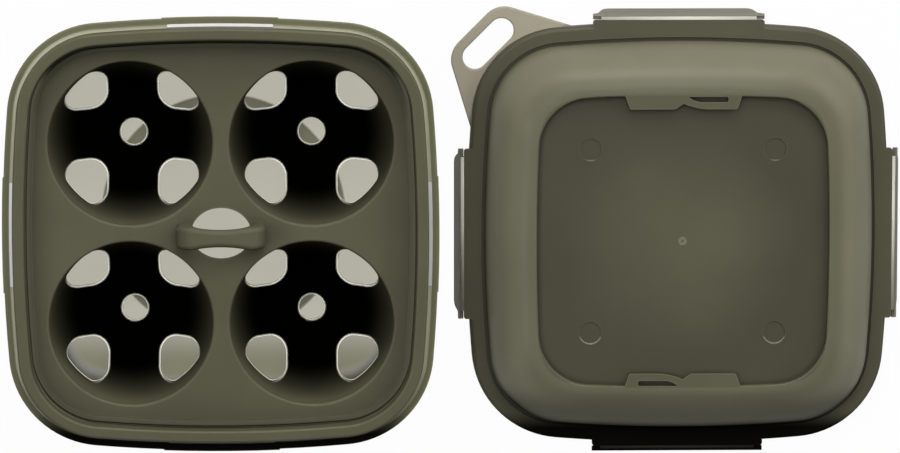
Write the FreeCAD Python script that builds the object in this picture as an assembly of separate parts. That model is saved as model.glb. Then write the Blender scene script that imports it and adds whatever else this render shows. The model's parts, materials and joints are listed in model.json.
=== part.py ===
import FreeCAD, Part
import math
import os

V = FreeCAD.Vector
UP = V(0, 0, 1)
ORIGIN = V(0, 0, 0)

# Plan outline shared by tub, tray and lid: a square with bowed sides and soft corners
plan_half = 60.0
plan_corner = 26.0
plan_side = 412.0

# Clearances between the pieces
tray_side_clear = 0.9
lid_flange_clear = 0.2
lid_tray_clear = 0.4
hook_clear = 0.2
hinge_clear = 0.05

# Tub, whose wall leans in from the rim to the shoulder and on to the foot
tub_height = 56.0
tub_wall = 1.6
tub_floor = 1.8
tub_shoulder_drop = 13.2
tub_shoulder_inset = 4.2
tub_bottom_inset = 4.6
tub_bottom_round = 7.5
foot_radius = 34.0
foot_ring_width = 4.1
foot_height = 1.6
foot_round = 0.7

# Tub rim, the ledge that carries the tray, and the flange with its four catch bars
flange_width = 2.7
flange_drop = 4.6
flange_thickness = 1.2
flange_round = 0.35
channel_depth = 0.45
rim_width = 3.3
rim_flare_height = 4.8
rim_round = 0.7
mouth_draft = 0.3
ledge_depth = 9.6
ledge_width = 2.4
catch_length = 29.0
catch_slot = 1.1
catch_bulge = 0.25
catch_end = 1.5

# Egg tray
deck_thickness = 1.6
deck_lip_width = 0.8
deck_lip_height = 1.3
cup_border = 12.3
cup_neck = 4.6
cup_mouth_draft = 0.2
cup_waist_drop = 5.5
cup_foot_gap = 9.1
cup_wall = 1.2
cup_lip_round = 0.7
drain_radius = 3.6

# Plan of each vent, as shares of how far it reaches from the middle of its cup
petal_edge_gap = 0.7
petal_inset_share = 0.335
petal_inner_share = 0.23
petal_outer_share = 0.147

# Lifting handle of the tray
handle_length = 24.6
handle_foot_width = 6.3
handle_bar_width = 4.7
handle_height = 14.0
handle_thickness = 3.6
handle_post = 4.5
handle_crown = 5.0
handle_round = 1.4
handle_hole_length = 16.6
handle_hole_width = 14.2

# Lid
lid_wall = 1.6
lid_skirt_thickness = 2.2
lid_rim_band = 4.0
lid_rim_round = 1.2
lid_groove_width = 1.0
lid_groove_depth = 0.7
dome_height = 20.5
dome_inset = 18.0
dome_top_corner = 15.5
dome_top_side = 600.0
dome_steps = 6
recess_border = 1.0
recess_corner = 14.5
recess_side = 600.0
recess_depth = 2.4
recess_edge_round = 0.5
holding_ring_inset = 8.5
holding_ring_wall = 1.4
ring_round = 0.4

# Two edge tabs over the lid's recess, each with a notch that is steep on one side and swept on the other
tab_length = 33.4
tab_tip_length = 30.0
tab_reach = 3.7
tab_thickness = 1.0
tab_notch_steep = 2.4
tab_notch_sweep = 6.6
tab_notch_depth = 1.6
tab_root = 1.0
tab_round = 0.7
tab_slot_start = 1.3
tab_slot_length = 11.2
tab_slot_width = 1.5
tab_slot_inset = 2.0
tab_slot_sweep = 3.4
tab_slot_round = 0.5
sweep_sag = 0.3

# Marks left by the mould on the lid's recess
ejector_spacing = 51.8
ejector_radius = 3.15
mark_depth = 0.25
gate_radius = 1.0
gate_width = 0.35

# Hanging loop at one corner of the lid
loop_thickness = 2.0
loop_tip_inset = 2.45
loop_tip_half = 10.0
loop_corner = 7.0
loop_root_half = 23.0
loop_root_inset = 26.85
loop_band = 2.7
loop_slot_length = 17.6
loop_slot_width = 7.0
loop_edge_round = 0.45

# Locking clips, one on each side of the lid
clip_root_length = 48.6
clip_tip_length = 42.0
clip_plate = 1.2
clip_stand = 1.6
clip_flare = 1.0
clip_flare_height = 3.5
clip_tip_round = 2.5
clip_neck_drop = 0.32
clip_web_out = 0.1
clip_web_drop = 0.5
clip_shoulder_height = 1.0
hook_thickness = 1.2
hook_reach = 2.0
hook_nose = 0.6
hinge_bead_radius = 0.6
hinge_bead_length = 44.0
hinge_ledge_out = 0.9
hinge_ledge_round = 0.81

# Where the lid lies: beside the tub, a gap away from it, and a little nearer the front
lid_gap = 9.1
lid_shift = -4.9

# How far a cutter runs past the faces that it cuts, and what counts as the same place
past = 1.0
same_place = 1e-3

# Half widths of the tub and tray, worked out from the plan
rim_outer_half = plan_half - flange_width
rim_inner_half = rim_outer_half - rim_width
ledge_half = rim_inner_half - ledge_width
tub_shoulder_half = rim_outer_half - tub_shoulder_inset
tub_bottom_half = tub_shoulder_half - tub_bottom_inset
tray_half = rim_inner_half - mouth_draft - tray_side_clear

# Heights in the tub, worked out from its rim
ledge_z = tub_height - ledge_depth
flange_top = tub_height - flange_drop
flange_bottom = flange_top - flange_thickness
tub_shoulder_z = tub_height - tub_shoulder_drop
rim_low = tub_shoulder_z + rim_flare_height
floor_top = foot_height + tub_floor
deck_top = ledge_z + deck_thickness
waist_z = deck_top - cup_waist_drop
cup_bottom = floor_top + cup_foot_gap

# Cups and vents: four cups share the deck, with a border outside them and a neck between them
cup_pitch = plan_half - cup_border + cup_neck / 2
cup_mouth_radius = (cup_pitch - cup_neck) / 2
cup_waist_radius = cup_mouth_radius - cup_mouth_draft
petal_reach = cup_waist_radius - petal_edge_gap
petal_inset = petal_reach * petal_inset_share

# Half widths and reaches of the lid, worked out from the same plan
dome_foot_half = plan_half - lid_rim_band - lid_groove_width
dome_top_half = plan_half - dome_inset
recess_half = dome_top_half - recess_border
holding_ring_half = plan_half - holding_ring_inset
loop_reach = plan_half * math.sqrt(2) - loop_tip_inset
loop_root_reach = plan_half * math.sqrt(2) - loop_root_inset
hinge_out = plan_half + hinge_ledge_out
lid_offset = 2 * plan_half + lid_gap

# Heights in the lid, whose holding ring stands on the table
lid_seat_z = tub_height - deck_top - lid_tray_clear
lid_rim_top = lid_seat_z + lid_wall
lid_skirt_bottom = lid_seat_z - flange_drop + lid_flange_clear
lid_flange_bottom = lid_seat_z - flange_drop - flange_thickness
dome_top_z = lid_rim_top + dome_height
recess_floor_z = dome_top_z - recess_depth
hinge_z = lid_seat_z + lid_wall / 2
hook_top = lid_flange_bottom - hook_clear
hook_bottom = hook_top - hook_thickness


def rounded_square(half, corner, side, z):
    """Closed wire of four bowed sides and four corner arcs, all tangent."""
    bow = side - half
    reach = side - corner
    centre = (math.sqrt(2 * reach * reach - bow * bow) - bow) / 2
    meet_near = side * centre / reach
    meet_far = side * (centre + bow) / reach - bow
    tip = centre + corner / math.sqrt(2)
    edges = []
    for turn in range(4):
        quarter = FreeCAD.Rotation(UP, -90 * turn)

        def at(x, y):
            return quarter.multVec(V(x, y, 0)) + V(0, 0, z)

        edges.append(Part.Arc(at(-meet_near, meet_far), at(0, half), at(meet_near, meet_far)).toShape())
        edges.append(Part.Arc(at(meet_near, meet_far), at(tip, tip), at(meet_far, meet_near)).toShape())
    return Part.Wire(edges)


def outline(half, z):
    """The shared plan outline, moved in or out to the given half width."""
    inset = plan_half - half
    return rounded_square(half, plan_corner - inset, plan_side - inset, z)


def prism(wire, height):
    return Part.Face(wire).extrude(V(0, 0, height))


def slab(half, low, high):
    return prism(outline(half, low), high - low)


def taper(low_half, low, high_half, high):
    return Part.makeLoft([outline(low_half, low), outline(high_half, high)], True, True)


def block(length, width, low, high, centre_y=0.0):
    """Upright box centred on x, and on the given y."""
    return Part.makeBox(length, width, high - low, V(-length / 2, centre_y - width / 2, low))


def closed_polygon(points):
    return Part.makePolygon(points + points[:1])


def level_edges(shape, z):
    """Edges that lie wholly at one height."""
    return [e for e in shape.Edges
            if abs(e.BoundBox.ZMin - z) < same_place and abs(e.BoundBox.ZMax - z) < same_place]


def upright_edges(shape):
    return [e for e in shape.Edges
            if e.BoundBox.ZLength > same_place
            and e.BoundBox.XLength < same_place and e.BoundBox.YLength < same_place]


def four_sides(shape):
    """One copy of a shape for each side of the square."""
    return [shape.rotated(ORIGIN, UP, 90 * turn) for turn in range(4)]


def base_tub():
    """Outer tub: drafted wall, round stepped foot, thick rim, tray ledge, and flange with catch bars."""
    body = taper(tub_bottom_half, foot_height, tub_shoulder_half, tub_shoulder_z)
    body = body.makeFillet(tub_bottom_round, level_edges(body, foot_height))
    shoulder = taper(tub_shoulder_half, tub_shoulder_z, rim_outer_half, rim_low)
    foot = Part.makeCylinder(foot_radius, foot_height + tub_floor / 2)
    foot = foot.makeFillet(foot_round, level_edges(foot, 0))
    flange = slab(plan_half, flange_bottom, flange_top)
    flange = flange.makeFillet(flange_round, level_edges(flange, flange_top) + level_edges(flange, flange_bottom))
    bar_window = block(catch_length + 2 * catch_end, 3 * plan_half, flange_bottom, flange_top)
    bulge = slab(plan_half + catch_bulge, flange_bottom, flange_top)
    bars = [bulge.common(bar_window), bulge.common(bar_window.rotated(ORIGIN, UP, 90))]
    mouth = taper(rim_inner_half - mouth_draft, ledge_z, rim_inner_half, tub_height)
    rim = slab(rim_outer_half, rim_low, tub_height).cut(mouth)
    rim = rim.makeFillet(rim_round, level_edges(rim, tub_height))
    outside = body.multiFuse([shoulder, rim, foot, flange] + bars)

    hollow = taper(tub_bottom_half - tub_wall, floor_top, ledge_half, ledge_z)
    hollow = hollow.makeFillet(tub_bottom_round - tub_wall, level_edges(hollow, floor_top))
    sink = Part.makeCylinder(foot_radius - foot_ring_width, foot_height + tub_floor / 2, V(0, 0, tub_floor))
    slot_band = slab(rim_outer_half + catch_slot, flange_bottom - past, flange_top + past)
    slot_band = slot_band.cut(slab(rim_outer_half, flange_bottom - 2 * past, flange_top + 2 * past))
    window = block(catch_length, 3 * plan_half, flange_bottom - past, flange_top + past)
    slots = [slot_band.common(window), slot_band.common(window.rotated(ORIGIN, UP, 90))]
    channel = slab(rim_outer_half + catch_slot, flange_top - channel_depth, flange_top + past)
    channel = channel.cut(slab(rim_outer_half, flange_top - past, flange_top + 2 * past))
    return outside.cut([hollow, mouth, sink, channel] + slots).removeSplitter()


def cup_solid(grown, top):
    """Solid of an egg cup's inside, grown outwards by a wall and ending at the given height."""
    depth = waist_z - cup_bottom + grown
    radius = cup_waist_radius + grown
    mouth = radius + (cup_mouth_radius - cup_waist_radius) * (top - waist_z) / cup_waist_drop
    longer, shorter = V(0, 0, waist_z - depth), V(radius, 0, waist_z)
    if depth < radius:
        longer, shorter = shorter, longer
    ellipse = Part.Ellipse(longer, shorter, V(0, 0, waist_z))
    curve = Part.Arc(ellipse, ellipse.parameter(longer), ellipse.parameter(shorter)).toShape()
    side = Part.makeLine(V(radius, 0, waist_z), V(mouth, 0, top))
    across = Part.makeLine(V(mouth, 0, top), V(0, 0, top))
    axis = Part.makeLine(V(0, 0, top), V(0, 0, waist_z - depth))
    section = Part.Face(Part.Wire(Part.__sortEdges__([curve, side, across, axis])))
    return section.revolve(ORIGIN, UP, 360)


def at_cups(shape):
    """One copy of a shape at each of the four cups."""
    centre = cup_pitch / 2
    return [shape.translated(V(x, y, 0)) for x in (-centre, centre) for y in (-centre, centre)]


def petal_cutter():
    """Upright cutter with the rounded three-cornered plan of one vent, in the first quadrant."""
    low = cup_bottom - 2 * cup_wall
    height = waist_z - low
    quadrant = Part.makeBox(petal_reach, petal_reach, height, V(petal_inset, petal_inset, low))
    piece = Part.makeCylinder(petal_reach, height, V(0, 0, low)).common(quadrant)
    inner = [e for e in upright_edges(piece) if abs(e.BoundBox.XMin - e.BoundBox.YMin) < same_place]
    piece = piece.makeFillet(petal_reach * petal_inner_share, inner)
    outer = [e for e in upright_edges(piece)
             if abs(math.hypot(e.BoundBox.XMin, e.BoundBox.YMin) - petal_reach) < same_place]
    return piece.makeFillet(petal_reach * petal_outer_share, outer)


def handle():
    """Arched lifting bar with two flared feet, standing on the deck's centre."""
    low = deck_top - deck_thickness / 2
    high = deck_top + handle_height
    gap_top = high - handle_thickness
    gap_length = handle_length - 2 * handle_post

    arch = block(handle_length, handle_foot_width, low, high)
    crown = [e for e in level_edges(arch, high) if e.BoundBox.YLength > same_place]
    arch = arch.makeFillet(handle_crown, crown)
    gap = block(gap_length, 2 * handle_foot_width, low - past, gap_top)
    crown = [e for e in level_edges(gap, gap_top) if e.BoundBox.YLength > same_place]
    gap = gap.makeFillet(handle_crown - handle_thickness / 2, crown)

    waist = (handle_foot_width - handle_bar_width) / 2
    waist_radius = (gap_length * gap_length / 4 + waist * waist) / (2 * waist)
    scoops = [Part.makeCylinder(waist_radius, high - low + 2 * past,
                                V(0, side * (handle_bar_width / 2 + waist_radius), low - past))
              for side in (-1, 1)]
    arch = arch.cut([gap] + scoops).removeSplitter()
    soft = [e for e in arch.Edges if e.BoundBox.ZMax > deck_top + handle_round]
    return arch.makeFillet(handle_round, soft)


def egg_tray():
    """Lift-out tray: one deck with four vented egg cups and the arched handle."""
    deck = slab(tray_half, ledge_z, deck_top)
    lip_top = deck_top + deck_lip_height
    lip = slab(tray_half, deck_top, lip_top).cut(slab(tray_half - deck_lip_width, deck_top - past, lip_top + past))
    outer = cup_solid(cup_wall, deck_top - deck_thickness / 2)
    inner = cup_solid(0, deck_top)
    tray = deck.multiFuse([lip] + at_cups(outer)).cut(at_cups(inner)).removeSplitter()

    mouths = [e for e in level_edges(tray, deck_top)
              if abs(e.BoundBox.XLength - 2 * cup_mouth_radius) < cup_lip_round / 10]
    tray = tray.makeFillet(cup_lip_round, mouths)

    drain = Part.makeCylinder(drain_radius, 3 * cup_wall, V(0, 0, cup_bottom - 2 * cup_wall))
    cutters = at_cups(drain)
    for petal in four_sides(petal_cutter()):
        cutters += at_cups(petal)
    hole = Part.Ellipse(ORIGIN, handle_hole_length / 2, handle_hole_width / 2).toShape()
    hole = prism(Part.Wire([hole]), 2 * deck_thickness)
    cutters.append(hole.translated(V(0, 0, ledge_z - deck_thickness / 2)))
    return tray.cut(cutters).fuse(handle()).removeSplitter()


def dome(inset):
    """Solid dome on the rim's height: a quarter ellipse in section, carried round the outline."""
    foot = dome_foot_half - inset
    foot_corner = plan_corner - (plan_half - foot)
    foot_side = plan_side - (plan_half - foot)
    sections = []
    for step in range(dome_steps + 1):
        angle = math.pi / 2 * step / dome_steps
        along = 1 - math.cos(angle)
        half = foot + (dome_top_half - foot) * along
        corner = foot_corner + (dome_top_corner - foot_corner) * along
        side = foot_side + (dome_top_side - foot_side) * along
        rise = (dome_height - inset) * math.sin(angle)
        sections.append(rounded_square(half, corner, side, lid_rim_top + rise))
    return Part.makeLoft(sections, True, False)


def swept_prism(points, thickness):
    """Prism on a closed outline whose last stretch, back to the first point, is a gentle arc."""
    start = points[-1]
    end = points[0]
    middle = (start + end) / 2 - V(0, sweep_sag, 0)
    arc = Part.Arc(start, middle, end).toShape()
    return prism(Part.Wire(Part.makePolygon(points).Edges + [arc]), thickness)


def edge_tab():
    """Thin tab over the back edge of the recess: notched in the middle, slotted on one half."""
    root = recess_half + tab_root
    tip = recess_half - tab_reach
    corners = [V(tab_notch_sweep, tip), V(tab_tip_length / 2, tip), V(tab_length / 2, root),
               V(-tab_length / 2, root), V(-tab_tip_length / 2, tip), V(-tab_notch_steep, tip),
               V(0, tip + tab_notch_depth)]
    plate = swept_prism(corners, tab_thickness)
    tips = [e for e in upright_edges(plate)
            if e.BoundBox.YMin < tip + same_place and abs(e.BoundBox.XMin - tab_notch_sweep) > same_place]
    plate = plate.makeFillet(tab_round, tips)
    near = tip + tab_slot_inset
    far = near + tab_slot_width
    end = tab_slot_start + tab_slot_length
    slot = swept_prism([V(tab_slot_start + tab_slot_sweep, near), V(end, near), V(end, far),
                        V(tab_slot_start, far)], 3 * tab_thickness)
    ends = [e for e in upright_edges(slot) if e.BoundBox.XMin > end - same_place]
    slot = slot.makeFillet(tab_slot_round, ends)
    plate = plate.cut(slot.translated(V(0, 0, -tab_thickness)))
    return plate.translated(V(0, 0, dome_top_z - tab_thickness))


def loop_plate():
    """Flat ear at one corner, drawn across the diagonal and turned into place."""
    points = [V(-loop_root_half, loop_root_reach, 0), V(-loop_tip_half, loop_reach, 0),
              V(loop_tip_half, loop_reach, 0), V(loop_root_half, loop_root_reach, 0)]
    plate = prism(closed_polygon(points), loop_thickness)
    tips = [e for e in upright_edges(plate) if e.BoundBox.YMin > loop_reach - same_place]
    plate = plate.makeFillet(loop_corner, tips)
    straight = loop_slot_length - loop_slot_width
    slot_reach = loop_reach - loop_band - loop_slot_width / 2
    slot = block(straight, loop_slot_width, -loop_thickness, 2 * loop_thickness, slot_reach)
    ends = [Part.makeCylinder(loop_slot_width / 2, 3 * loop_thickness, V(x, slot_reach, -loop_thickness))
            for x in (-straight / 2, straight / 2)]
    plate = plate.cut(slot.multiFuse(ends)).removeSplitter()
    plate = plate.makeFillet(loop_edge_round, level_edges(plate, 0) + level_edges(plate, loop_thickness))
    plate.rotate(ORIGIN, UP, 45)
    plate.translate(V(0, 0, lid_skirt_bottom))
    return plate


def hinge_ledge():
    """Straight seat on the lid's rim for one clip's hinge bead, at the back side."""
    depth = 2 * lid_skirt_thickness
    ledge = block(clip_root_length, depth, lid_seat_z, lid_rim_top, hinge_out - depth / 2)
    corners = [e for e in upright_edges(ledge) if e.BoundBox.YMax > hinge_out - same_place]
    return ledge.makeFillet(hinge_ledge_round, corners)


def hinge_groove():
    """Half-round groove in one hinge ledge for the clip's bead."""
    length = hinge_bead_length + 4 * hinge_clear
    return Part.makeCylinder(hinge_bead_radius + hinge_clear, length,
                             V(-length / 2, hinge_out, hinge_z), V(1, 0, 0))


def mould_marks():
    """Shallow round marks on the recess floor: four ejector pads and the ring of the gate."""
    depth = 2 * mark_depth
    low = recess_floor_z - mark_depth
    pads = [Part.makeCylinder(ejector_radius, depth, V(x, y, low))
            for x in (-ejector_spacing / 2, ejector_spacing / 2)
            for y in (-ejector_spacing / 2, ejector_spacing / 2)]
    ring = Part.makeCylinder(gate_radius, depth, V(0, 0, low))
    core = Part.makeCylinder(gate_radius - gate_width, depth, V(0, 0, low))
    return pads + [ring.cut(core)]


def lid():
    """Domed lid: skirt, flat rim, groove, dome with recess, holding ring, loop and hinge ledges."""
    rim = slab(plan_half, lid_skirt_bottom, lid_rim_top)
    rim = rim.makeFillet(lid_rim_round, level_edges(rim, lid_rim_top))
    groove = slab(plan_half - lid_rim_band, lid_rim_top - lid_groove_depth, lid_rim_top + past)
    groove = groove.cut(slab(dome_foot_half, lid_seat_z, lid_rim_top + 2 * past))
    recess = prism(rounded_square(recess_half, recess_corner, recess_side, recess_floor_z), recess_depth + past)
    crown = dome(0).cut(recess)
    recess_rim = [e for e in level_edges(crown, dome_top_z) if isinstance(e.Curve, Part.Circle)]
    crown = crown.makeFillet(recess_edge_round, recess_rim)
    tab = edge_tab()
    outside = rim.cut(groove).fuse(crown)
    outside = outside.multiFuse([tab, tab.rotated(ORIGIN, UP, 180), loop_plate()] + four_sides(hinge_ledge()))

    ring = slab(holding_ring_half, 0, lid_seat_z)
    ring = ring.makeFillet(ring_round, level_edges(ring, 0))
    under_rim = slab(plan_half - lid_skirt_thickness, lid_skirt_bottom - past, lid_seat_z)
    well = slab(holding_ring_half - holding_ring_wall, -past, lid_rim_top)
    ceiling = prism(rounded_square(recess_half + lid_wall, recess_corner + lid_wall, recess_side + lid_wall,
                                   recess_floor_z - lid_wall), recess_depth + lid_wall)
    cavity = dome(lid_wall).cut(ceiling)
    shell = outside.cut(under_rim).fuse(ring)
    return shell.cut([well, cavity] + four_sides(hinge_groove()) + mould_marks())


def clip():
    """Locking clip for the back side: plate with a flared tip, hook and the round bead it turns on."""
    half = clip_root_length / 2
    inner = clip_stand - clip_plate
    bottom = hook_bottom - hinge_z
    top = hook_top - hinge_z
    section = [(clip_web_out, -clip_web_drop), (inner, -clip_neck_drop),
               (inner + clip_neck_drop, -clip_neck_drop), (clip_stand - 2 * clip_neck_drop, 0),
               (clip_stand, -2 * clip_neck_drop), (clip_stand, bottom + clip_flare_height),
               (clip_stand + clip_flare, bottom), (-hook_reach, bottom),
               (-hook_reach, top - hook_nose), (-hook_reach + hook_nose, top), (inner, top),
               (inner, -2 * hinge_bead_radius)]
    points = [V(-half, hinge_out + out, hinge_z + rise) for out, rise in section]
    plate = Part.Face(closed_polygon(points)).extrude(V(clip_root_length, 0, 0))

    tip_half = clip_tip_length / 2
    front = hinge_out - hook_reach - past
    over = hinge_z + clip_shoulder_height
    under = hinge_z - clip_shoulder_height
    corners = [V(-half, front, over), V(-half, front, under), V(-tip_half, front, hook_bottom),
               V(tip_half, front, hook_bottom), V(half, front, under), V(half, front, over)]
    trim = Part.Face(closed_polygon(corners)).extrude(V(0, clip_stand + clip_flare + hook_reach + 2 * past, 0))
    tips = [e for e in trim.Edges
            if e.BoundBox.ZMax < hook_bottom + same_place and e.BoundBox.XLength < same_place]
    trim = trim.makeFillet(clip_tip_round, tips)
    bead = Part.makeCylinder(hinge_bead_radius, hinge_bead_length,
                             V(-hinge_bead_length / 2, hinge_out, hinge_z), V(1, 0, 0))
    return plate.common(trim).fuse(bead).removeSplitter()


def one_solid(shape):
    """The single solid that a boolean result holds."""
    if len(shape.Solids) != 1:
        raise ValueError("expected one solid, found %d" % len(shape.Solids))
    return shape.Solids[0]


lid_place = V(lid_offset, lid_shift, 0)
nodes = {"base_tub": base_tub(), "egg_tray": egg_tray(), "lid": lid().translated(lid_place)}
for name, turned in zip(("clip_back", "clip_left", "clip_front", "clip_right"), four_sides(clip())):
    nodes[name] = turned.translated(lid_place)

os.makedirs("parts", exist_ok=True)
for name, shape in nodes.items():
    solid = one_solid(shape)
    solid.exportStep("parts/%s.step" % name)
    print(name, "volume", round(solid.Volume / 1000, 2), "cm3", "faces", len(solid.Faces), solid.isValid())
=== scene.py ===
import json
import math

import bmesh
import bpy
from mathutils import Matrix, Vector


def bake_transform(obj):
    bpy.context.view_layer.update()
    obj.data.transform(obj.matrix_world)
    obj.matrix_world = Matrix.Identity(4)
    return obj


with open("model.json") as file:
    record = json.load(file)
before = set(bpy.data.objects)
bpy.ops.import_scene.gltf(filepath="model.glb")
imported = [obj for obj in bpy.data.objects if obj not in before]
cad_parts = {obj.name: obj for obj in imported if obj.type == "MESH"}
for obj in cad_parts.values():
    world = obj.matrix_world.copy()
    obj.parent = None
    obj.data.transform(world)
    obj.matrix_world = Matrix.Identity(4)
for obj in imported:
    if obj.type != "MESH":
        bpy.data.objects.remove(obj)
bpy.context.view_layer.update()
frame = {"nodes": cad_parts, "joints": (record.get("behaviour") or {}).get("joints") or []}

# Tub
# One moulding in smoky, see-through olive polypropylene: drafted wall, round stepped foot, ledge for the
# tray, thick rim, and a flange with four slotted catch bars. Where it is thick it looks dark and solid.

# The skin paints a highlight on rounded edges and shade in hollows, besides its own cloudy tint and grain.
skin_edge_samples = 4
skin_flat_bend = 0.99
skin_sharp_bend = 0.80
skin_cloud_scale = 45.0
skin_cloud_detail = 3.0
skin_cloud_low = 0.3
skin_cloud_high = 0.7
skin_cloud_dark = 0.93
skin_cloud_light = 1.07
skin_hollow_shade_samples = 8
skin_darkest_hollow_shade = 0.25
skin_grain_detail = 2.0
skin_roughness_spread = 0.03
no_glow = (0.0, 0.0, 0.0)
glow_strength = 1.0
tub_tint = (0.092, 0.090, 0.052)
# Painted highlight on the tub's rounded edges; further down, the reach of painted shade in its hollows.
tub_edge_highlight = (0.34, 0.34, 0.23)
tub_highlight_strength = 0.30
tub_edge_width = 0.0006
tub_roughness = 0.34
tub_grain_size = 0.0011
tub_grain_depth = 0.00002
tub_hollow_shade_reach = 0.004
tub_wall_tint = (0.22, 0.215, 0.10)
tub_wall_alpha = 0.27
tub_slant_alpha = 0.62
tub_slant_from = 0.1
tub_slant_full = 0.9
tub_rim_from_z = 0.043
tub_rim_full_z = 0.0455
tub_ring_alpha = 0.66
tub_ring_inner = 0.0299
tub_ring_outer = 0.0346
tub_ring_soft = 0.0004
tub_floor_z = 0.0045
# The thin floor of the flange's channel is painted pale, as light that comes through it.
tub_channel_painted_light = (0.50, 0.49, 0.36)
tub_channel_z = 0.05095
tub_channel_band = 0.0002
# The flange's top is painted lighter, as light that comes through it; its edge is darker.
tub_flange_top_painted_light = (1.7, 1.7, 1.6)
tub_flange_edge_shade = (0.35, 0.35, 0.36)
tub_flange_under_z = 0.0500
tub_flange_low_z = 0.0513
tub_flange_high_z = 0.0516
tub_flange_soft = 0.0001
# Painted shadow on the front of the flange.
tub_front_shade = (0.04, 0.04, 0.045)
tub_front_from_y = -0.0480
tub_front_full_y = -0.0560
tub_gloss = 0.35
tub_ledge_z = 0.0464
tub_ledge_band = 0.0010
tub_ledge_glow = (0.060, 0.058, 0.040)
tub_ledge_back_y = 0.0470
tub_ledge_front_y = 0.0400


def skin_group():
    """Moulded skin: cloudy tint, painted highlight on rounded edges, painted shade in hollows, and the fine
    grain of the mould.
    """
    group = bpy.data.node_groups.new("moulded_skin_and_shade", "ShaderNodeTree")
    sockets = group.interface
    for name in ("Tint", "Edge Tint"):
        sockets.new_socket(name, in_out="INPUT", socket_type="NodeSocketColor")
    for name in ("Highlight Strength", "Edge Width", "Grain Size", "Grain Depth", "Hollow Shade Reach", "Roughness"):
        sockets.new_socket(name, in_out="INPUT", socket_type="NodeSocketFloat")
    sockets.new_socket("Colour", in_out="OUTPUT", socket_type="NodeSocketColor")
    sockets.new_socket("Edge", in_out="OUTPUT", socket_type="NodeSocketFloat")
    sockets.new_socket("Roughness", in_out="OUTPUT", socket_type="NodeSocketFloat")
    sockets.new_socket("Normal", in_out="OUTPUT", socket_type="NodeSocketVector")
    nodes = group.nodes
    link = group.links.new
    given = nodes.new("NodeGroupInput")
    result = nodes.new("NodeGroupOutput")
    place = nodes.new("ShaderNodeTexCoord")

    bevel = nodes.new("ShaderNodeBevel")
    bevel.samples = skin_edge_samples
    link(given.outputs["Edge Width"], bevel.inputs["Radius"])
    face = nodes.new("ShaderNodeNewGeometry")
    bend = nodes.new("ShaderNodeVectorMath")
    bend.operation = "DOT_PRODUCT"
    link(bevel.outputs["Normal"], bend.inputs[0])
    link(face.outputs["Normal"], bend.inputs[1])
    edge = nodes.new("ShaderNodeMapRange")
    edge.inputs["From Min"].default_value = skin_flat_bend
    edge.inputs["From Max"].default_value = skin_sharp_bend
    link(bend.outputs["Value"], edge.inputs["Value"])
    link(edge.outputs["Result"], result.inputs["Edge"])
    share = nodes.new("ShaderNodeMath")
    share.operation = "MULTIPLY"
    link(edge.outputs["Result"], share.inputs[0])
    link(given.outputs["Highlight Strength"], share.inputs[1])

    cloud = nodes.new("ShaderNodeTexNoise")
    cloud.inputs["Scale"].default_value = skin_cloud_scale
    cloud.inputs["Detail"].default_value = skin_cloud_detail
    link(place.outputs["Object"], cloud.inputs["Vector"])
    shade = nodes.new("ShaderNodeMapRange")
    shade.inputs["From Min"].default_value = skin_cloud_low
    shade.inputs["From Max"].default_value = skin_cloud_high
    shade.inputs["To Min"].default_value = skin_cloud_dark
    shade.inputs["To Max"].default_value = skin_cloud_light
    link(cloud.outputs["Fac"], shade.inputs["Value"])
    clouded = nodes.new("ShaderNodeVectorMath")
    clouded.operation = "SCALE"
    link(given.outputs["Tint"], clouded.inputs[0])
    link(shade.outputs["Result"], clouded.inputs["Scale"])
    # Painted highlight on the rounded edges.
    tinted = nodes.new("ShaderNodeMix")
    tinted.data_type = "RGBA"
    link(share.outputs[0], tinted.inputs["Factor"])
    link(clouded.outputs[0], tinted.inputs["A"])
    link(given.outputs["Edge Tint"], tinted.inputs["B"])
    # Painted shade in the hollows.
    hollow_shade = nodes.new("ShaderNodeAmbientOcclusion")
    hollow_shade.samples = skin_hollow_shade_samples
    link(given.outputs["Hollow Shade Reach"], hollow_shade.inputs["Distance"])
    open_share = nodes.new("ShaderNodeMapRange")
    open_share.inputs["To Min"].default_value = skin_darkest_hollow_shade
    link(hollow_shade.outputs["AO"], open_share.inputs["Value"])
    shaded = nodes.new("ShaderNodeVectorMath")
    shaded.operation = "SCALE"
    link(tinted.outputs["Result"], shaded.inputs[0])
    link(open_share.outputs["Result"], shaded.inputs["Scale"])
    link(shaded.outputs[0], result.inputs["Colour"])

    fine = nodes.new("ShaderNodeMath")
    fine.operation = "DIVIDE"
    fine.inputs[0].default_value = 1.0
    link(given.outputs["Grain Size"], fine.inputs[1])
    grain = nodes.new("ShaderNodeTexNoise")
    grain.inputs["Detail"].default_value = skin_grain_detail
    link(place.outputs["Object"], grain.inputs["Vector"])
    link(fine.outputs[0], grain.inputs["Scale"])
    bump = nodes.new("ShaderNodeBump")
    link(grain.outputs["Fac"], bump.inputs["Height"])
    link(given.outputs["Grain Depth"], bump.inputs["Distance"])
    link(bump.outputs["Normal"], result.inputs["Normal"])

    worn = nodes.new("ShaderNodeMapRange")
    worn.inputs["From Min"].default_value = skin_cloud_low
    worn.inputs["From Max"].default_value = skin_cloud_high
    worn.inputs["To Min"].default_value = -skin_roughness_spread
    worn.inputs["To Max"].default_value = skin_roughness_spread
    link(cloud.outputs["Fac"], worn.inputs["Value"])
    rough = nodes.new("ShaderNodeMath")
    rough.operation = "ADD"
    link(given.outputs["Roughness"], rough.inputs[0])
    link(worn.outputs["Result"], rough.inputs[1])
    link(rough.outputs[0], result.inputs["Roughness"])
    return group


moulded_skin_and_shade = skin_group()


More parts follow.
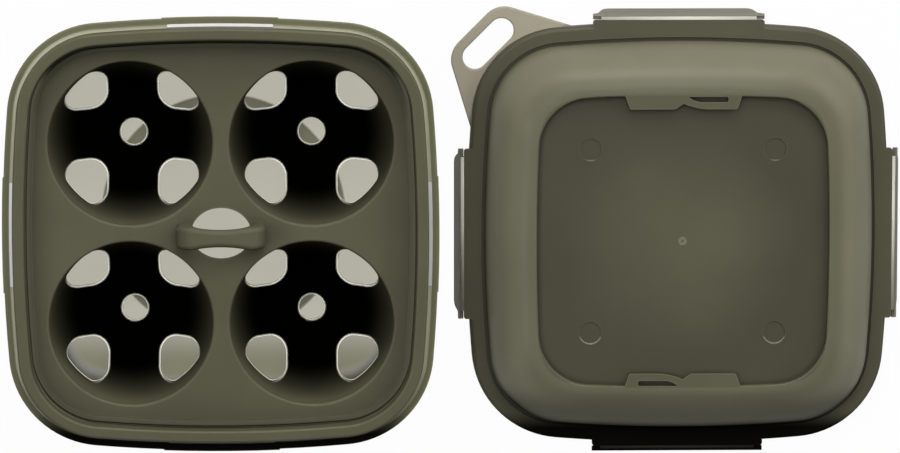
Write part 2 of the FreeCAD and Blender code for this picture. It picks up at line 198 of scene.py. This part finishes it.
def plastic(name, tint, edge_highlight, highlight_strength, edge_width, hollow_shade_reach, roughness, grain_size,
            grain_depth):
    """Moulded plastic with its own skin values, among them its painted edge highlight and hollow shade:
    returns the material, its shader and its skin node. All its gloss is that of the coat, so that a piece can
    fade it where it lies in shadow."""
    material = bpy.data.materials.new(name)
    material.use_nodes = True
    nodes = material.node_tree.nodes
    link = material.node_tree.links.new
    shader = nodes["Principled BSDF"]
    skin = nodes.new("ShaderNodeGroup")
    skin.node_tree = moulded_skin_and_shade
    skin.inputs["Tint"].default_value = (*tint, 1.0)
    skin.inputs["Edge Tint"].default_value = (*edge_highlight, 1.0)
    skin.inputs["Highlight Strength"].default_value = highlight_strength
    skin.inputs["Edge Width"].default_value = edge_width
    skin.inputs["Hollow Shade Reach"].default_value = hollow_shade_reach
    skin.inputs["Grain Size"].default_value = grain_size
    skin.inputs["Grain Depth"].default_value = grain_depth
    skin.inputs["Roughness"].default_value = roughness
    link(skin.outputs["Colour"], shader.inputs["Base Color"])
    link(skin.outputs["Roughness"], shader.inputs["Roughness"])
    link(skin.outputs["Normal"], shader.inputs["Normal"])
    shader.inputs["Specular IOR Level"].default_value = 0.0
    shader.inputs["Coat Roughness"].default_value = roughness
    return material, shader, skin


def dress(node, material):
    """Gives a CAD node one material all over."""
    for holder in frame["nodes"][node].material_slots:
        holder.material = material


def object_axes(material):
    """The x, y and z of a point on the piece."""
    nodes = material.node_tree.nodes
    place = nodes.new("ShaderNodeTexCoord")
    axes = nodes.new("ShaderNodeSeparateXYZ")
    material.node_tree.links.new(place.outputs["Object"], axes.inputs[0])
    return axes.outputs


def worked_out(material, operation, first, second=None):
    """The outcome of one sum on a socket, alone or with a second socket or number."""
    sum_node = material.node_tree.nodes.new("ShaderNodeMath")
    sum_node.operation = operation
    material.node_tree.links.new(first, sum_node.inputs[0])
    if isinstance(second, float):
        sum_node.inputs[1].default_value = second
    elif second is not None:
        material.node_tree.links.new(second, sum_node.inputs[1])
    return sum_node.outputs[0]


def both(material, first, second):
    """A mask that is 1 where both masks are 1."""
    return worked_out(material, "MULTIPLY", first, second)


def fade(material, source, start, end):
    """A mask that goes softly from 0 at the start value to 1 at the end value."""
    ramp = material.node_tree.nodes.new("ShaderNodeMapRange")
    ramp.interpolation_type = "SMOOTHSTEP"
    ramp.inputs["From Min"].default_value = start
    ramp.inputs["From Max"].default_value = end
    material.node_tree.links.new(source, ramp.inputs["Value"])
    return ramp.outputs["Result"]


def level_band(material, height, level, reach):
    """A mask that is 1 within a thin band of heights around one level."""
    above = fade(material, height, level - reach, level - reach / 2)
    below = fade(material, height, level + reach, level + reach / 2)
    return both(material, above, below)


def distance_out(material, across, ahead):
    """How far out a point lies in plan."""
    flat = material.node_tree.nodes.new("ShaderNodeCombineXYZ")
    material.node_tree.links.new(across, flat.inputs["X"])
    material.node_tree.links.new(ahead, flat.inputs["Y"])
    length = material.node_tree.nodes.new("ShaderNodeVectorMath")
    length.operation = "LENGTH"
    material.node_tree.links.new(flat.outputs[0], length.inputs[0])
    return length.outputs["Value"]


def blended_number(material, mask, low, high):
    """A number that is low where the mask is 0 and high where it is 1. Low or high may be a socket."""
    mix = material.node_tree.nodes.new("ShaderNodeMix")
    mix.data_type = "FLOAT"
    material.node_tree.links.new(mask, mix.inputs["Factor"])
    for value, name in ((low, "A"), (high, "B")):
        if isinstance(value, float):
            mix.inputs[name].default_value = value
        else:
            material.node_tree.links.new(value, mix.inputs[name])
    return mix.outputs["Result"]


def blended_colour(material, mask, low, high):
    """A colour that is low where the mask is 0 and high where it is 1. Each is a socket or three numbers."""
    mix = material.node_tree.nodes.new("ShaderNodeMix")
    mix.data_type = "RGBA"
    material.node_tree.links.new(mask, mix.inputs["Factor"])
    for value, name in ((low, "A"), (high, "B")):
        if isinstance(value, tuple):
            mix.inputs[name].default_value = (*value, 1.0)
        else:
            material.node_tree.links.new(value, mix.inputs[name])
    return mix.outputs["Result"]


def shaded_colour(material, mask, colour, shade):
    """A colour multiplied by a shade where the mask is 1."""
    mix = material.node_tree.nodes.new("ShaderNodeMix")
    mix.data_type = "RGBA"
    mix.blend_type = "MULTIPLY"
    mix.inputs["B"].default_value = (*shade, 1.0)
    material.node_tree.links.new(mask, mix.inputs["Factor"])
    material.node_tree.links.new(colour, mix.inputs["A"])
    return mix.outputs["Result"]


def glow_where(material, shader, mask, glow):
    """The surface glows in one colour where the mask is 1."""
    glowing = blended_colour(material, mask, no_glow, glow)
    material.node_tree.links.new(glowing, shader.inputs["Emission Color"])
    shader.inputs["Emission Strength"].default_value = glow_strength


def thick_and_thin(material, shader, skin):
    """The rim and the ring of the foot are thick and look solid. The wall and floor let light through, less
    where they are seen at a slant. The flange's top is painted lighter and its channel painted pale, as light
    that comes through thin plastic; its edge is darker and its front painted dark as shadow. Only the rim is
    glossy. The ledge glows a little, as painted light that comes through the rim to it, but not at the back."""
    axes = object_axes(material)
    link = material.node_tree.links.new
    radius = distance_out(material, axes["X"], axes["Y"])
    inside = fade(material, radius, tub_ring_outer + tub_ring_soft, tub_ring_outer - tub_ring_soft)
    outside = fade(material, radius, tub_ring_inner - tub_ring_soft, tub_ring_inner + tub_ring_soft)
    low = fade(material, axes["Z"], tub_floor_z, tub_floor_z - tub_ring_soft)
    ring = both(material, both(material, inside, outside), low)
    slant = material.node_tree.nodes.new("ShaderNodeLayerWeight")
    slanted = fade(material, slant.outputs["Facing"], tub_slant_from, tub_slant_full)
    wall = blended_number(material, slanted, tub_wall_alpha, tub_slant_alpha)
    wall_or_ring = blended_number(material, ring, wall, tub_ring_alpha)
    rim = fade(material, axes["Z"], tub_rim_from_z, tub_rim_full_z)
    link(blended_number(material, rim, wall_or_ring, 1.0), shader.inputs["Alpha"])

    above = fade(material, axes["Z"], tub_flange_low_z - tub_flange_soft, tub_flange_low_z)
    below = fade(material, axes["Z"], tub_flange_high_z + tub_flange_soft, tub_flange_high_z)
    over = fade(material, axes["Z"], tub_flange_under_z - tub_flange_soft, tub_flange_under_z)
    flange = both(material, over, below)
    edge = worked_out(material, "SUBTRACT", flange, above)
    # Painted light on the flange's top.
    topped = shaded_colour(material, both(material, above, below), skin.outputs["Colour"], tub_flange_top_painted_light)
    edged = shaded_colour(material, edge, topped, tub_flange_edge_shade)
    thick = blended_colour(material, rim, tub_wall_tint, edged)
    # Painted light on the channel's thin floor.
    channel = level_band(material, axes["Z"], tub_channel_z, tub_channel_band)
    pale = blended_colour(material, channel, thick, tub_channel_painted_light)
    # Painted shadow on the flange's front.
    front = both(material, fade(material, axes["Y"], tub_front_from_y, tub_front_full_y), flange)
    link(shaded_colour(material, front, pale, tub_front_shade), shader.inputs["Base Color"])

    not_back = fade(material, axes["Y"], tub_ledge_back_y, tub_ledge_front_y)
    ledge = both(material, level_band(material, axes["Z"], tub_ledge_z, tub_ledge_band), not_back)
    glow_where(material, shader, ledge, tub_ledge_glow)
    gloss = blended_number(material, rim, 0.0, tub_gloss)
    link(blended_number(material, front, gloss, 0.0), shader.inputs["Coat Weight"])


tub_plastic, tub_shader, tub_skin = plastic(
    "smoky_olive_tub", tub_tint, tub_edge_highlight, tub_highlight_strength, tub_edge_width,
    tub_hollow_shade_reach, tub_roughness, tub_grain_size, tub_grain_depth)
thick_and_thin(tub_plastic, tub_shader, tub_skin)
dress("base_tub", tub_plastic)

# Egg tray
# One opaque olive moulding that lifts out: deck, raised edge lip, four vented cups and the arched handle. The
# cups are painted near black down from their mouths, as shade in the closed tub, and the cut edges of their
# vents get a painted highlight and glow.

tray_tint = (0.100, 0.097, 0.060)
# Painted highlight on the tray's rounded edges, and the reach of painted shade in its hollows.
tray_edge_highlight = (0.22, 0.22, 0.14)
tray_highlight_strength = 0.5
tray_edge_width = 0.0009
tray_hollow_shade_reach = 0.012
tray_roughness = 0.48
tray_sheen_share = 0.2
tray_sheen_roughness = 0.5
tray_grain_size = 0.0008
tray_grain_depth = 0.00003
# Painted shade deep in the cups, fading in from the first height below to full at the second.
tray_deep_painted_shade = (0.0006, 0.0006, 0.0003)
tray_lit_z = 0.0440
tray_dark_z = 0.0200
# Painted highlight and glow on the vents' cut edges.
vent_edge_highlight = (0.50, 0.49, 0.40)
vent_edge_glow = (0.85, 0.84, 0.72)
vent_edge_z = 0.0410
vent_edge_soft = 0.001


def darken_cups(material, shader, skin):
    """Fades the tint to a painted shade, and its sheen away, from the cups' mouths down. The cut edges of the
    vents get a painted highlight and glow, as the plastic leads light to them."""
    link = material.node_tree.links.new
    height = object_axes(material)["Z"]
    # Painted shade down the cups.
    depth = fade(material, height, tray_lit_z, tray_dark_z)
    faded = blended_colour(material, depth, skin.outputs["Colour"], tray_deep_painted_shade)
    # Painted highlight and glow on the cut edges of the vents.
    low = fade(material, height, vent_edge_z, vent_edge_z - vent_edge_soft)
    cut_edges = both(material, skin.outputs["Edge"], low)
    link(blended_colour(material, cut_edges, faded, vent_edge_highlight), shader.inputs["Base Color"])
    link(blended_number(material, depth, tray_sheen_share, 0.0), shader.inputs["Coat Weight"])
    glow_where(material, shader, cut_edges, vent_edge_glow)


tray_plastic, tray_shader, tray_skin = plastic(
    "olive_tray", tray_tint, tray_edge_highlight, tray_highlight_strength, tray_edge_width,
    tray_hollow_shade_reach, tray_roughness, tray_grain_size, tray_grain_depth)
tray_shader.inputs["Coat Roughness"].default_value = tray_sheen_roughness
darken_cups(tray_plastic, tray_shader, tray_skin)
dress("egg_tray", tray_plastic)

# Lid
# One moulding in the same smoky plastic, thicker than the tub: rim, groove, broad domed shoulder and sunk
# panel with two tabs. It lies loose beside the tub. The hanging loop at one corner is thin, so it is painted
# lighter, as light comes through it.

lid_tint = (0.096, 0.092, 0.056)
# Painted highlight on the lid's rounded edges, and the reach of painted shade in its hollows.
lid_edge_highlight = (0.30, 0.29, 0.21)
lid_highlight_strength = 0.40
lid_edge_width = 0.0005
lid_hollow_shade_reach = 0.0018
lid_roughness = 0.38
lid_grain_size = 0.0011
lid_grain_depth = 0.00002
lid_gloss = 0.35
lid_soft = 0.0005
# Painted shade on the sunk panel, lighter towards its middle.
lid_recess_shade = (0.61, 0.59, 0.60)
lid_recess_light_reach = 0.004
lid_recess_dark_reach = 0.038
lid_recess_z = 0.0273
lid_recess_band = 0.0008
lid_recess_half = 0.0410
lid_recess_power = 6.3
lid_wall_from_z = 0.0096
lid_wall_full_z = 0.0112
# Painted light on the dome's wall, less on its crown, with a glow.
lid_crown_reach = 0.0430
lid_outer_reach = 0.0480
lid_crown_share = 0.35
lid_wall_shade = (1.45, 1.45, 1.50)
lid_wall_glow = (0.046, 0.045, 0.034)
lid_glow_full_z = 0.0180
# Painted shade on the rim, and painted shadow at the front, on the wall most of all at its foot.
lid_rim_shade = (0.80, 0.80, 0.80)
lid_rim_z = 0.0092
lid_front_shade = (0.08, 0.08, 0.09)
lid_rim_front_from = -0.0500
lid_rim_front_full = -0.0560
lid_wall_front_from = -0.0400
lid_wall_front_full = -0.0480
lid_wall_front_share = 0.40
lid_front_high_z = 0.0240
lid_front_low_z = 0.0120
# Painted highlights on the edges of the mould's marks.
lid_mark_highlight = (0.42, 0.40, 0.33)
lid_marks_inside = 0.0380
lid_marks_inside_soft = 0.001
lid_mark_middle = 0.0250
lid_mark_arc_from = 0.0018
lid_mark_arc_soft = 0.0008
lid_gate_reach = 0.0015
lid_gate_soft = 0.0002
# The thin loop is painted lighter, as light comes through it.
loop_painted_light = (0.40, 0.36, 0.27)
loop_alpha = 0.86
loop_from = 0.0620
loop_full = 0.0660
loop_top_z = 0.0054
clip_hinges = {joint["child"]: joint for joint in frame["joints"]}
lid_centre = (Vector(clip_hinges["clip_left"]["pos_m"]) + Vector(clip_hinges["clip_right"]["pos_m"])) / 2


def rounded_reach(material, across, ahead, power):
    """How far out a point lies in plan, measured so that equal reaches make a square with soft corners."""
    raised = []
    for side in (across, ahead):
        raised.append(worked_out(material, "POWER", worked_out(material, "ABSOLUTE", side), power))
    return worked_out(material, "POWER", worked_out(material, "ADD", raised[0], raised[1]), 1.0 / power)


def lid_mark_highlights(material, skin, ahead, away, plan_reach):
    """Painted highlights on the edges of the mould's marks: the ring of the gate in the panel's middle, and an
    arc at the front side of each of the four ejector pads, two of which lie behind the gate and two before it."""
    aside = worked_out(material, "ADD", worked_out(material, "ABSOLUTE", ahead), -lid_mark_middle)
    back_row = fade(material, ahead, -lid_gate_reach, lid_gate_reach)
    to_front = blended_number(material, back_row, aside, worked_out(material, "MULTIPLY", aside, -1.0))
    arcs = fade(material, to_front, lid_mark_arc_from, lid_mark_arc_from + lid_mark_arc_soft)
    gate = fade(material, away, lid_gate_reach, lid_gate_reach - lid_gate_soft)
    edges = both(material, worked_out(material, "MAXIMUM", arcs, gate), skin.outputs["Edge"])
    inside = fade(material, plan_reach, lid_marks_inside, lid_marks_inside - lid_marks_inside_soft)
    return both(material, edges, inside)


def finish_lid(material, shader, skin):
    """The thin loop is painted light, as light comes through it. The wall of the dome is painted lighter than
    the rest and glows a little, as light comes through it, and the panel and the rim are painted darker as
    shade, the panel less at its middle. The front is painted dark as shadow, the wall above all at its foot.
    The edges of the mould's marks in the panel get a painted highlight."""
    axes = object_axes(material)
    link = material.node_tree.links.new
    across = worked_out(material, "ADD", axes["X"], -lid_centre.x)
    ahead = worked_out(material, "ADD", axes["Y"], -lid_centre.y)
    away = distance_out(material, across, ahead)
    plan_reach = rounded_reach(material, across, ahead, lid_recess_power)
    to_corner = worked_out(material, "SUBTRACT", ahead, across)
    diagonal = worked_out(material, "MULTIPLY", to_corner, 1.0 / math.sqrt(2.0))
    plate = fade(material, axes["Z"], loop_top_z + lid_soft, loop_top_z)
    loop = both(material, plate, fade(material, diagonal, loop_from, loop_full))
    outside = fade(material, plan_reach, lid_recess_half, lid_recess_half + lid_soft)
    wall = both(material, outside, fade(material, axes["Z"], lid_wall_from_z, lid_wall_full_z))
    outer_wall = fade(material, plan_reach, lid_crown_reach, lid_outer_reach)
    wall_share = both(material, wall, blended_number(material, outer_wall, lid_crown_share, 1.0))
    within = fade(material, plan_reach, lid_recess_half + lid_soft, lid_recess_half)
    recess = both(material, level_band(material, axes["Z"], lid_recess_z, lid_recess_band), within)
    # Painted shade on the rim and painted shadow on the front.
    rim = fade(material, axes["Z"], lid_rim_z + lid_soft, lid_rim_z)
    rim_front = both(material, rim, fade(material, ahead, lid_rim_front_from, lid_rim_front_full))
    wall_front = both(material, wall, fade(material, ahead, lid_wall_front_from, lid_wall_front_full))
    near_foot = fade(material, axes["Z"], lid_front_high_z, lid_front_low_z)
    foot_share = blended_number(material, near_foot, lid_wall_front_share, 1.0)
    wall_shadow = both(material, wall_front, foot_share)
    front = worked_out(material, "MAXIMUM", rim_front, wall_shadow)

    # Painted shade on the panel, less at its middle.
    outer = fade(material, away, lid_recess_light_reach, lid_recess_dark_reach)
    panel = shaded_colour(material, both(material, recess, outer), skin.outputs["Colour"], lid_recess_shade)
    marks = both(material, lid_mark_highlights(material, skin, ahead, away, plan_reach), recess)
    marked = blended_colour(material, marks, panel, lid_mark_highlight)
    # Painted light on the dome's wall.
    wall_lit = shaded_colour(material, wall_share, marked, lid_wall_shade)
    rim_shaded = shaded_colour(material, rim, wall_lit, lid_rim_shade)
    front_shaded = shaded_colour(material, front, rim_shaded, lid_front_shade)
    link(blended_colour(material, loop, front_shaded, loop_painted_light), shader.inputs["Base Color"])
    link(blended_number(material, loop, 1.0, loop_alpha), shader.inputs["Alpha"])
    link(blended_number(material, front, lid_gloss, 0.0), shader.inputs["Coat Weight"])

    in_light = worked_out(material, "ADD", worked_out(material, "MULTIPLY", wall_shadow, -1.0), 1.0)
    lit_wall = both(material, wall_share, in_light)
    above_rim = fade(material, axes["Z"], lid_rim_z, lid_glow_full_z)
    glow_where(material, shader, both(material, lit_wall, above_rim), lid_wall_glow)


lid_plastic, lid_shader, lid_skin = plastic(
    "smoky_olive_lid", lid_tint, lid_edge_highlight, lid_highlight_strength, lid_edge_width,
    lid_hollow_shade_reach, lid_roughness, lid_grain_size, lid_grain_depth)
finish_lid(lid_plastic, lid_shader, lid_skin)
dress("lid", lid_plastic)

# Locking clips
# Four clips moulded with the lid in the same plastic, painted lighter as light comes through it where it is
# thin. Each bends on a web of plastic along the lid's rim, so thin that it is almost clear, and it is painted
# as a bright line of light.

# The clips' own olive, painted lighter, as light comes through their thin plastic.
clip_tint_and_light = (0.20, 0.19, 0.145)
clip_alpha = 0.85
# Painted shadow on the front clip and its web.
clip_front_shade = (0.05, 0.05, 0.05)
clip_front_from = -0.0560
clip_front_full = -0.0580
clip_names = ("clip_back", "clip_left", "clip_front", "clip_right")
# The web is painted bright, as light that comes through it.
web_painted_light = (0.80, 0.78, 0.66)
web_highlight_strength = 0.0
web_alpha = 0.75
web_length = 0.0440
web_radius = 0.00082
web_thickness = 0.00020
web_start_angle = math.radians(12.0)
web_sweep = math.radians(80.0)
web_steps = 9


def shade_front(material, shader, skin, alpha):
    """The clip at the front hangs in the lid's shadow with its web, so both are painted dark and solid there,
    as shadow, and have no gloss."""
    link = material.node_tree.links.new
    ahead = worked_out(material, "ADD", object_axes(material)["Y"], -lid_centre.y)
    front = fade(material, ahead, clip_front_from, clip_front_full)
    tint = shaded_colour(material, front, skin.outputs["Colour"], clip_front_shade)
    link(tint, shader.inputs["Base Color"])
    link(blended_number(material, front, alpha, 1.0), shader.inputs["Alpha"])
    link(blended_number(material, front, lid_gloss, 0.0), shader.inputs["Coat Weight"])


clip_plastic, clip_shader, clip_skin = plastic(
    "thin_olive_clip", clip_tint_and_light, lid_edge_highlight, lid_highlight_strength, lid_edge_width,
    lid_hollow_shade_reach, lid_roughness, lid_grain_size, lid_grain_depth)
shade_front(clip_plastic, clip_shader, clip_skin, clip_alpha)
for clip in clip_names:
    dress(clip, clip_plastic)

web_plastic, web_shader, web_skin = plastic(
    "hinge_web", web_painted_light, web_painted_light, web_highlight_strength, lid_edge_width,
    lid_hollow_shade_reach, lid_roughness, lid_grain_size, lid_grain_depth)
shade_front(web_plastic, web_shader, web_skin, web_alpha)


def web_tree():
    """Geometry Nodes for one hinge web: a flat section swept along a short arc, closed at both ends."""
    tree = bpy.data.node_groups.new("hinge_web", "GeometryNodeTree")
    sockets = tree.interface
    for name in ("Length", "Radius", "Thickness", "Start Angle", "Sweep"):
        sockets.new_socket(name, in_out="INPUT", socket_type="NodeSocketFloat")
    sockets.new_socket("Steps", in_out="INPUT", socket_type="NodeSocketInt")
    sockets.new_socket("Material", in_out="INPUT", socket_type="NodeSocketMaterial")
    sockets.new_socket("Geometry", in_out="OUTPUT", socket_type="NodeSocketGeometry")
    nodes = tree.nodes
    link = tree.links.new
    given = nodes.new("NodeGroupInput")
    result = nodes.new("NodeGroupOutput")
    arc = nodes.new("GeometryNodeCurveArc")
    link(given.outputs["Steps"], arc.inputs["Resolution"])
    link(given.outputs["Radius"], arc.inputs["Radius"])
    link(given.outputs["Start Angle"], arc.inputs["Start Angle"])
    link(given.outputs["Sweep"], arc.inputs["Sweep Angle"])
    section = nodes.new("GeometryNodeCurvePrimitiveQuadrilateral")
    link(given.outputs["Thickness"], section.inputs["Width"])
    link(given.outputs["Length"], section.inputs["Height"])
    sweep = nodes.new("GeometryNodeCurveToMesh")
    sweep.inputs["Fill Caps"].default_value = True
    link(arc.outputs["Curve"], sweep.inputs["Curve"])
    link(section.outputs["Curve"], sweep.inputs["Profile Curve"])
    realized = nodes.new("GeometryNodeRealizeInstances")
    link(sweep.outputs["Mesh"], realized.inputs["Geometry"])
    painted = nodes.new("GeometryNodeSetMaterial")
    link(realized.outputs["Geometry"], painted.inputs["Geometry"])
    link(given.outputs["Material"], painted.inputs["Material"])
    link(painted.outputs["Geometry"], result.inputs["Geometry"])
    return tree


hinge_web_tree = web_tree()


def hinge_web(clip):
    """The web of one clip, wrapped round its hinge line from the lid's rim to the clip's neck."""
    piece = bpy.data.objects.new(clip + "_web", bpy.data.meshes.new(clip + "_web"))
    bpy.context.scene.collection.objects.link(piece)
    modifier = piece.modifiers.new("web", "NODES")
    modifier.node_group = hinge_web_tree
    values = {"Length": web_length, "Radius": web_radius, "Thickness": web_thickness,
              "Start Angle": web_start_angle, "Sweep": web_sweep, "Steps": web_steps, "Material": web_plastic}
    for socket in hinge_web_tree.interface.items_tree:
        if socket.in_out == "INPUT":
            modifier[socket.identifier] = values[socket.name]
    graph = bpy.context.evaluated_depsgraph_get()
    mesh = bpy.data.meshes.new_from_object(piece.evaluated_get(graph))
    piece.modifiers.clear()

    along = Vector(clip_hinges[clip]["axis"])
    up = Vector((0.0, 0.0, 1.0))
    out = up.cross(along)
    hinge = Vector(clip_hinges[clip]["pos_m"])
    place = Matrix.Translation(hinge) @ Matrix((out, up, along)).transposed().to_4x4()
    mesh.transform(place)
    shape = bmesh.new()
    shape.from_mesh(mesh)
    bmesh.ops.recalc_face_normals(shape, faces=shape.faces)
    shape.to_mesh(mesh)
    shape.free()
    piece.data = mesh
    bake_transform(piece)


for clip in clip_names:
    hinge_web(clip)

# Studio
# A white table, which keeps a faint shadow, in a soft studio. The light comes mostly from behind and above
# the box, with a little from its sides, and the front of the studio is dim.

white = (1.0, 1.0, 1.0)
table_reach = 4.0
table_z = -0.0001
table_paint = (0.22, 0.22, 0.22)
table_glow_share = 0.90
table_glow_level = 1.08
table_shade_x = -0.0009
table_shade_y = -0.0060
table_shade_half = 0.0606
table_shade_soft = 0.0012
table_shade_power = 3.6
table_shade_paint = (0.95, 0.95, 0.95)
# Painted shadow on the table under the tub's front catch bar.
table_front_painted_shadow = (0.12, 0.12, 0.12)
table_front_y = -0.0630
table_under_half = 0.0494
table_under_soft = 0.0040
table_under_power = 5.5
# Under the tub the glow is tinted as light through the tub's plastic, and painted darker towards the front as
# shade.
table_under_tint = (0.84, 0.83, 0.71)
table_under_front_shade = (0.43, 0.43, 0.37)
table_under_front_from = -0.0280
table_under_front_full = -0.0440
studio_back = 0.25
studio_dim = 0.02
studio_dim_way = 0.1
studio_back_way = 0.9
studio_shown_level = 1.0
studio_middle = Vector((0.065, 0.0, 0.02))
lamp_size = 0.7
back_low_place = Vector((0.065, 1.359, 0.634))
back_low_power = 8.9
back_high_place = Vector((0.065, 0.634, 1.359))
back_high_power = 8.4
back_right_place = Vector((1.060, 0.835, 0.750))
back_right_power = 7.0
right_place = Vector((1.364, 0.0, 0.750))
right_power = 1.7
left_high_place = Vector((-0.685, 0.0, 1.299))
left_high_power = 5.2


def shown_background(nodes, link):
    """1 for the rays that show the background: from the camera, off gloss and through clear plastic."""
    rays = nodes.new("ShaderNodeLightPath")
    shown = rays.outputs["Is Camera Ray"]
    for ray in ("Is Glossy Ray", "Is Transmission Ray"):
        seen = nodes.new("ShaderNodeMath")
        seen.operation = "MAXIMUM"
        link(shown, seen.inputs[0])
        link(rays.outputs[ray], seen.inputs[1])
        shown = seen.outputs[0]
    return shown


def paint_table(material):
    """White paint that takes light as paint does, and mostly glows where it is the background. Close round
    the tub it doesn't glow, so the tub's own shadow shows there and behind the slots of the catch bars, and at
    the front bar it is painted dark as shadow. Under the tub the glow is tinted as light through the tub's
    plastic, and painted darker towards the front as shade."""
    nodes = material.node_tree.nodes
    link = material.node_tree.links.new
    axes = object_axes(material)
    across = worked_out(material, "ADD", axes["X"], -table_shade_x)
    ahead = worked_out(material, "ADD", axes["Y"], -table_shade_y)
    shade_reach = rounded_reach(material, across, ahead, table_shade_power)
    near = fade(material, shade_reach, table_shade_half + table_shade_soft, table_shade_half)
    under_reach = rounded_reach(material, axes["X"], axes["Y"], table_under_power)
    under = fade(material, under_reach, table_under_half, table_under_half - table_under_soft)
    shade = worked_out(material, "SUBTRACT", near, under)
    paint = nodes.new("ShaderNodeBsdfDiffuse")
    # Painted shadow under the front catch bar.
    front = fade(material, axes["Y"], table_front_y, table_front_y - table_shade_soft)
    shadow = blended_colour(material, front, table_shade_paint, table_front_painted_shadow)
    link(blended_colour(material, shade, table_paint, shadow), paint.inputs["Color"])
    glow = nodes.new("ShaderNodeEmission")
    glow.inputs["Strength"].default_value = table_glow_level
    # Tinted glow under the tub, with painted shade towards the front.
    tinted = blended_colour(material, under, white, table_under_tint)
    towards_front = fade(material, axes["Y"], table_under_front_from, table_under_front_full)
    under_front = both(material, under, towards_front)
    link(shaded_colour(material, under_front, tinted, table_under_front_shade), glow.inputs["Color"])
    glowing = blended_number(material, shade, table_glow_share, 0.0)
    share = both(material, shown_background(nodes, link), glowing)
    mix = nodes.new("ShaderNodeMixShader")
    link(share, mix.inputs["Fac"])
    link(paint.outputs[0], mix.inputs[1])
    link(glow.outputs[0], mix.inputs[2])
    link(mix.outputs[0], nodes["Material Output"].inputs["Surface"])


bpy.ops.mesh.primitive_plane_add(size=2 * table_reach, location=(0, 0, table_z))
table = bpy.context.object
table.name = "table_top"
white_table = bpy.data.materials.new("white_table")
white_table.use_nodes = True
white_table.node_tree.nodes.remove(white_table.node_tree.nodes["Principled BSDF"])
paint_table(white_table)
table.data.materials.append(white_table)

studio = bpy.data.worlds.new("studio")
studio.use_nodes = True
studio_nodes = studio.node_tree.nodes
studio_link = studio.node_tree.links.new
studio_way = studio_nodes.new("ShaderNodeTexCoord")
studio_axes = studio_nodes.new("ShaderNodeSeparateXYZ")
studio_link(studio_way.outputs["Generated"], studio_axes.inputs[0])
studio_level = studio_nodes.new("ShaderNodeMapRange")
studio_level.interpolation_type = "SMOOTHSTEP"
studio_level.inputs["From Min"].default_value = studio_dim_way
studio_level.inputs["From Max"].default_value = studio_back_way
studio_level.inputs["To Min"].default_value = studio_dim
studio_level.inputs["To Max"].default_value = studio_back
studio_link(studio_axes.outputs["Y"], studio_level.inputs["Value"])
studio_shown = studio_nodes.new("ShaderNodeMix")
studio_shown.data_type = "FLOAT"
studio_shown.inputs["B"].default_value = studio_shown_level
studio_link(shown_background(studio_nodes, studio_link), studio_shown.inputs["Factor"])
studio_link(studio_level.outputs["Result"], studio_shown.inputs["A"])
studio_link(studio_shown.outputs["Result"], studio_nodes["Background"].inputs["Strength"])
studio_nodes["Background"].inputs["Color"].default_value = (*white, 1.0)
bpy.context.scene.world = studio


def soft_light(name, place, power):
    """One square lamp at a place, turned towards the middle of the studio."""
    lamp = bpy.data.lights.new(name, "AREA")
    lamp.size = lamp_size
    lamp.energy = power
    holder = bpy.data.objects.new(name, lamp)
    bpy.context.scene.collection.objects.link(holder)
    holder.location = place
    holder.rotation_euler = (studio_middle - place).to_track_quat("-Z", "Y").to_euler()


soft_light("back_low_light", back_low_place, back_low_power)
soft_light("back_high_light", back_high_place, back_high_power)
soft_light("back_right_light", back_right_place, back_right_power)
soft_light("right_light", right_place, right_power)
soft_light("left_high_light", left_high_place, left_high_power)

# Camera
# It looks almost straight down from 1.5 m up and a little behind the tub, as the photograph does.

camera_place = Vector((0.0238, 0.1673, 1.5000))
camera_aim = Vector((0.0637, -0.0003, 0.0300))
focal_pixels = 5289.0
frame_pixels = 900.0
sensor_width = 36.0
nearest_shown = 0.05
farthest_shown = 20.0

lens = bpy.data.cameras.new("camera")
lens.sensor_width = sensor_width
lens.lens = focal_pixels / frame_pixels * sensor_width
lens.clip_start = nearest_shown
lens.clip_end = farthest_shown
camera = bpy.data.objects.new("camera", lens)
bpy.context.scene.collection.objects.link(camera)
camera.location = camera_place
looking = (camera_aim - camera_place).normalized()
camera_right = looking.cross(Vector((0.0, 1.0, 0.0))).normalized()
camera_up = camera_right.cross(looking)
camera.rotation_euler = Matrix((camera_right, camera_up, -looking)).transposed().to_euler()
bpy.context.scene.camera = camera

bpy.context.scene.view_settings.view_transform = "Standard"
